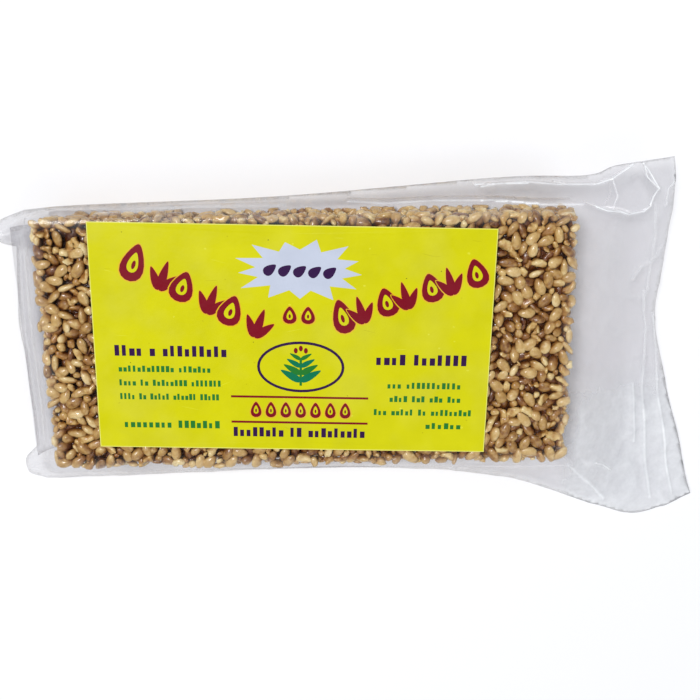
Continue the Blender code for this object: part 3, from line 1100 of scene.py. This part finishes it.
def along_line(points, share):
    """The place at a share of the way along a line of points."""
    way = share * line_length(points)
    for a, b in zip(points, points[1:]):
        step = (Vector(b) - Vector(a)).length
        if way <= step:
            break
        way -= step
    return Vector(a).lerp(Vector(b), min(1.0, way / step))


def line_length(points):
    return sum((Vector(b) - Vector(a)).length for a, b in zip(points, points[1:]))


def smooth(t):
    t = np.clip(t, 0.0, 1.0)
    return t * t * (3 - 2 * t)


def distance_to(line, places):
    """How far each place is from a line of points."""
    best = np.full(len(places), np.inf)
    for a, b in zip(line, line[1:]):
        a, along = np.array(a), np.array(b) - np.array(a)
        t = np.clip((places - a) @ along / (along @ along), 0, 1)
        best = np.minimum(best, np.linalg.norm(places - a - t[:, None] * along, axis=1))
    return best


def cloud(places, scale, stretch=(1.0, 1.0), shift=0.0):
    """Smooth noise, about -1 to 1, over places of the film."""
    wide, high = stretch
    return np.array([noise.noise(Vector((x * scale * wide, y * scale * high, shift))) for x, y in places])


class Film:
    """The bag's two sheets, drawn from above: how high each lies, and how white with haze and painted sheen,
    at each place.
    """

    def __init__(self):
        stretches = (TOP_FOLD, OPEN_END, BOTTOM_FOLD, LOWER_EAR, LEFT_FOLD, UPPER_EAR)
        self.rim = [p for line in stretches for p in spline(line, round(line_length(line) / RIM_STEP))]
        self.corner = HALF[:2] + BULGE[:2] + 0.1
        self.places, self.triangles = self.net()
        on_slab = np.abs(self.places) - self.corner
        self.past_edge = on_slab.max(axis=1)
        self.room = np.linalg.norm(np.maximum(on_slab, 0), axis=1)
        self.to_rim = distance_to([*self.rim, self.rim[0]], self.places)
        self.rise, self.haze_and_sheen = self.crumple()

    def net(self):
        """Triangles that fill the outline: fine where the film is loose, finest along its creases."""
        flat = [Vector(p) for p in self.rim]
        rim = list(range(len(flat)))
        half_x, half_y = self.corner
        for inset in (0.0, FOLD_WIDTH):
            for along, half_along, half_across in ((0, half_x, half_y), (1, half_y, half_x)):
                count = round(2 * half_along / TIGHT_STEP)
                for n in range(count + (along == 0)):
                    for side in (-1, 1):
                        at = Vector((0, 0))
                        at[along] = (half_along - inset) * (2 * (n + (along == 1) * 0.5) / count - 1)
                        at[1 - along] = side * (half_across - inset)
                        flat.append(at)
        fine = []
        for line, _, width, _ in CREASES:
            count = max(2, round(line_length(line) / (1.6 * width)))
            path = [along_line(line, n / count) for n in range(count + 1)]
            for n, at in enumerate(path):
                way = path[min(n + 1, count)] - path[max(n - 1, 0)]
                across = way.orthogonal().normalized() * width
                fine += [at, at + across, at - across]
        crease_points = tree_of([(*at, 0) for at in fine])
        inside = Matrix.Diagonal((1 / (half_x - FOLD_WIDTH), 1 / (half_y - FOLD_WIDTH)))
        for step, tight in ((LOOSE_STEP, False), (TIGHT_STEP, True)):
            for i in range(int(NET_SIZE[0] / step)):
                for j in range(int(NET_SIZE[1] / step)):
                    at = Vector((NET_LOW[0] + (i + 0.5 * (j % 2)) * step, NET_LOW[1] + j * step))
                    over = max(abs(c) for c in inside @ at) < 0.995
                    beside = max(abs(at.x) - half_x, abs(at.y) - half_y) > 0.1
                    if (over if tight else beside) and crease_points.find((*at, 0))[2] > step * 0.45:
                        flat.append(at)
        inner = np.array([tuple(at) for at in flat[len(rim) :] + fine])
        inner = inner[distance_to([*self.rim, self.rim[0]], inner) > RIM_CLEAR]
        apart = np.unique(np.round(inner / LEAST_STEP), axis=0, return_index=True)[1]
        inner = inner[np.sort(apart)]
        flat = flat[: len(rim)] + [Vector(at) for at in inner]
        corners, _, triangles, _, _, _ = delaunay_2d_cdt(flat, [], [rim], 1, 1e-4)
        used, triangles = np.unique(np.array(triangles), return_inverse=True)
        return np.array([tuple(corners[n]) for n in used]), triangles.reshape(-1, 3)

    def crumple(self):
        """(rise, haze and painted sheen) of the film at each place, in mm and as a share."""
        places, room = self.places, self.room
        loose = smooth(room / 6)
        rise = loose * (0.5 * cloud(places, 0.09) + 0.16 * cloud(places, 0.3))
        ridge = np.maximum(0, 1 - 2.4 * np.abs(cloud(places, 0.13, shift=5.0)))
        rise += RIDGE_RISE * loose * ridge**3
        haze_and_sheen = RIDGE_HAZE * ridge**5 * loose
        beside = (room > 0) & (np.abs(places[:, 0]) < HALF[0] + 4)
        # Painted streaks of sheen along the strips beside the slab.
        streak = np.maximum(0, cloud(places, 1.0, stretch=(0.05, 1.5), shift=2.0))
        haze_and_sheen += np.where(beside, STREAK_SHEEN * streak * smooth(room / 1.5), 0)
        pleat = np.maximum(0, cloud(places, 1.0, stretch=(0.5, 0.04), shift=7.0))
        haze_and_sheen += np.where(np.abs(places[:, 0]) > HALF[0], PLEAT_HAZE * pleat * smooth(room / 2), 0)
        rise += PLEAT_RISE * pleat * loose
        # Each crease rises, and whitens with painted highlight.
        for line, height, width, white_and_glint in CREASES:
            near = distance_to(line, places)
            rise += height * np.maximum(0, 1 - near / (2.5 * width)) * (room > 0)
            haze_and_sheen += white_and_glint * np.maximum(0, 1 - near / (0.9 * width))
        # Painted light: the lower part of the wide end is made whiter.
        haze_and_sheen += LOW_FLAP_LIGHT * smooth((-6 - places[:, 1]) / 12) * smooth((places[:, 0] - HALF[0]) / 4)
        haze_and_sheen += RIM_HAZE * np.maximum(0, 1 - self.to_rim / RIM_HAZE_WIDTH)
        # A painted reflection: a pale wash where the film bends over the slab's edge.
        pressed = 0.6 + 0.8 * cloud(places, 0.25, shift=9.0)
        from_middle = np.abs(self.past_edge - EDGE_SHEEN_MIDDLE)
        haze_and_sheen += EDGE_SHEEN * np.maximum(0, 1 - from_middle / EDGE_SHEEN_WIDTH) * pressed
        return rise, haze_and_sheen

    def middle(self):
        """Height half way between the sheets: level, then drooping and rippling past the slab's ends."""
        x, y = self.places.T
        share = smooth((np.abs(x) - HALF[0]) / FLAP_REACH)
        from_corner = np.linalg.norm(self.places - np.array(OPEN_END[0]), axis=1)
        curl = CORNER_CURL * smooth(1 - from_corner / CURL_REACH)
        ripple = RIPPLE * np.sin(2 * math.pi * (y + 0.35 * x) / RIPPLE_LENGTH) * share
        level = THICKNESS / 2
        return level + (curl + ripple - FLAP_DROOP * share) * np.minimum(1, self.room / 3)

    def height(self, up):
        """Heights of the upper sheet (up = 1) or the lower one (up = -1)."""
        reach = np.minimum(self.room + self.to_rim, WEDGE_REACH)
        open_share = 1 - np.minimum(1, self.room / np.maximum(reach, 1e-6))
        half = FILM_HALF + (THICKNESS / 2 - FILM_HALF) * open_share**WEDGE_POWER
        half *= np.minimum(1, self.to_rim / CLOSING)
        loose = self.middle() + up * half + self.rise * (1.0 if up > 0 else 0.8)
        tight = (FILM_OVER_Z if up > 0 else FILM_UNDER_Z) + 0.03 * cloud(self.places, 0.5, shift=up)
        height = np.where(self.room > 0, loose, tight)
        at_rim = self.to_rim < 1e-3
        height[at_rim] = (self.middle() + 0.9 * self.rise)[at_rim]
        return np.clip(height, FILM_UNDER_Z, None), at_rim


def film(material):
    """Both sheets as one closed skin, tight over the slab and meeting at the outline."""
    bag = Film()
    over, at_rim = bag.height(1)
    under, _ = bag.height(-1)
    count = len(bag.places)
    points = [(x, y, z) for (x, y), z in zip(bag.places, over)]
    lower = {}
    for n in range(count):
        if at_rim[n]:
            lower[n] = n
        else:
            lower[n] = len(points)
            points.append((*bag.places[n], under[n]))
    faces = bag.triangles.tolist()
    faces += [[lower[n] for n in reversed(corners)] for corners in bag.triangles.tolist()]
    own = [n for n in range(count) if not at_rim[n]]
    # The lower sheet takes less of the haze and painted sheen.
    haze_and_sheen = np.concatenate([bag.haze_and_sheen, bag.haze_and_sheen[own] * 0.7])
    piece = mesh_object("film_bag", points, faces, material)
    attribute(piece.data, "haze_and_sheen", np.clip(haze_and_sheen, 0, 1))
    finish_piece(piece, "bag")


# The folded end's way from the side, along the slab and up, and its faces across
FOLD_WAY = (
    (-58.9, 6.6),
    (-58.6, 5.0),
    (-57.2, 2.6),
    (-55.0, 0.9),
    (-52.6, 0.12),
    (-45.0, 0.1),
    (-32.0, 0.08),
)
FOLD_ROWS = 46
FOLD_COLUMNS = 40

# Its heat seal: where it starts and ends before the film's edge, its lines' step, and how white it is
SEAL_FROM, SEAL_TO = 0.6, 7
SEAL_STEP = 0.55
SEAL_HAZE = 0.3
FOLD_RIM_HAZE = 0.25


def folded_end(material):
    """The bag's other end: flattened, turned down past the slab's end and laid under it."""
    rows = [*spline(FOLD_WAY, FOLD_ROWS), Vector(FOLD_WAY[-1])]
    columns = FOLD_COLUMNS
    points, haze_and_sheen = [], []
    for up in (1, -1):
        for n, (x, z) in enumerate(rows):
            under_slab = smooth((x + 55) / 4)
            for k in range(columns + 1):
                across = k / columns
                y = (-25.5 + 1.2 * under_slab) * (1 - across) + (23.5 - 1.6 * under_slab) * across
                wave = noise.noise(Vector((x * 0.12, y * 0.16, 4.0)))
                lift = 0.02 * wave * under_slab + 0.3 * wave * (1 - under_slab)
                points.append((x, y, max(0.02, z + lift) + (0.05 if up > 0 else 0.0)))
                to_end = FOLD_WAY[-1][0] - x
                seal = SEAL_HAZE if SEAL_FROM < to_end < SEAL_TO and round(to_end / SEAL_STEP) % 2 else 0.0
                mist = (0.05 + 0.25 * under_slab) * max(0.0, noise.noise(Vector((x * 0.9, y * 0.05, 2.0))))
                at_edge = k in (0, columns) or n == len(rows) - 1
                haze_and_sheen.append(seal + mist + (FOLD_RIM_HAZE if at_edge else 0.0))
    width = columns + 1
    sheet = len(rows) * width
    faces = []
    for n in range(len(rows) - 1):
        for k in range(columns):
            a, b = n * width + k, (n + 1) * width + k
            faces.append((a, b, b + 1, a + 1))
            faces.append((sheet + a, sheet + a + 1, sheet + b + 1, sheet + b))
    last = len(rows) - 1
    border = (
        [*range(columns)]
        + [n * width + columns for n in range(last)]
        + [last * width + k for k in range(columns, 0, -1)]
        + [n * width for n in range(last, 0, -1)]
    )
    for a, b in zip(border, border[1:] + border[:1]):
        faces.append((a, b, sheet + b, sheet + a))
    piece = mesh_object("folded_end", points, faces, material)
    attribute(piece.data, "haze_and_sheen", np.clip(haze_and_sheen, 0, 1))
    finish_piece(piece, "bag")


# What one sheet lets through, seen straight on and edge on
CLEAR = (0.902, 0.9, 0.909, 1)
EDGE_ON = (0.76, 0.75, 0.75, 1)


def film_material():
    """Clear film: what is behind shows through, a gloss by the angle of view, and whitish creases, haze and
    painted highlights.
    """
    material, tree, shader = principled("bag_film", Roughness=0.3)
    shader.inputs["Base Color"].default_value = tint(250, 252, 255)
    # The stored share mixes in white: haze, and painted highlights and reflections.
    faint = math_node(tree, "MULTIPLY", stored(tree, "haze_and_sheen"), patches(tree, 300.0, 0.7, 1.2), clamp=True)
    facing = add(tree, "ShaderNodeLayerWeight", {"Blend": 0.5}).outputs["Facing"]
    clear = add(tree, "ShaderNodeBsdfTransparent", {"Color": CLEAR})
    edge_on = add(tree, "ShaderNodeBsdfTransparent", {"Color": EDGE_ON})
    slant = math_node(tree, "POWER", facing, 3.0)
    through = add(tree, "ShaderNodeMixShader", {0: slant, 1: clear.outputs[0], 2: edge_on.outputs[0]})
    body = add(tree, "ShaderNodeMixShader", {0: faint, 1: through.outputs[0], 2: shader.outputs[0]})
    mirror = add(tree, "ShaderNodeBsdfGlossy", {"Color": (1, 1, 1, 1), "Roughness": 0.1})
    steep = math_node(tree, "POWER", facing, 5.0)
    shine = add(tree, "ShaderNodeMapRange", {"Value": steep, "To Min": 0.008, "To Max": 0.5}).outputs[0]
    surface = add(tree, "ShaderNodeMixShader", {0: shine, 1: body.outputs[0], 2: mirror.outputs[0]})
    tree.links.new(surface.outputs[0], tree.nodes["Material Output"].inputs["Surface"])
    return material


# The studio


CAMERA_AT = (7.85, 45.48, 176.47)
CAMERA_TILT = (-15.918, -0.441, -0.829)
FOCAL_PIXELS = 850
FRAME_PIXELS = 700
SENSOR = 36.0
FLOOR_HALF = 3000

# Soft lamps that face the pack: place and side in metres, and power
LAMPS = {"key": ((-0.28, 0.3, 0.91), 0.26, 7.4), "fill": ((0.35, -0.62, 0.7), 0.7, 2.0)}
SKY = (0.93, 0.96, 1.0, 1)
SKY_STRENGTH = 0.34


def camera():
    data = bpy.data.cameras.new("camera")
    data.sensor_width = SENSOR
    data.lens = SENSOR * FOCAL_PIXELS / FRAME_PIXELS
    data.clip_start = 0.01
    obj = placed("camera", data)
    obj.location = Vector(CAMERA_AT) * MM + ORIGIN
    obj.rotation_euler = Euler([math.radians(a) for a in CAMERA_TILT])
    bpy.context.scene.camera = obj


def floor():
    material, _, shader = principled("pale_floor", Roughness=0.8)
    shader.inputs["Base Color"].default_value = tint(248, 248, 250)
    corners = [(x * FLOOR_HALF, y * FLOOR_HALF, 0) for x, y in ((-1, -1), (1, -1), (1, 1), (-1, 1))]
    mesh_object("floor", corners, [(0, 1, 2, 3)], material, smooth=False)


def lamp(name, at, side, power):
    data = bpy.data.lights.new(name, "AREA")
    data.shape = "SQUARE"
    data.size = side
    data.energy = power
    obj = placed(name, data)
    obj.location = at
    obj.rotation_euler = (-Vector(at)).to_track_quat("-Z", "Y").to_euler()


def studio():
    bpy.context.scene.view_settings.view_transform = "Standard"
    world = bpy.data.worlds.new("soft_light")
    world.use_nodes = True
    background = world.node_tree.nodes["Background"].inputs
    background["Color"].default_value = SKY
    background["Strength"].default_value = SKY_STRENGTH
    bpy.context.scene.world = world
    for name, values in LAMPS.items():
        lamp(name, *values)
    floor()
    camera()


core()
seeds()
label()
clear_film = film_material()
film(clear_film)
folded_end(clear_film)
studio()
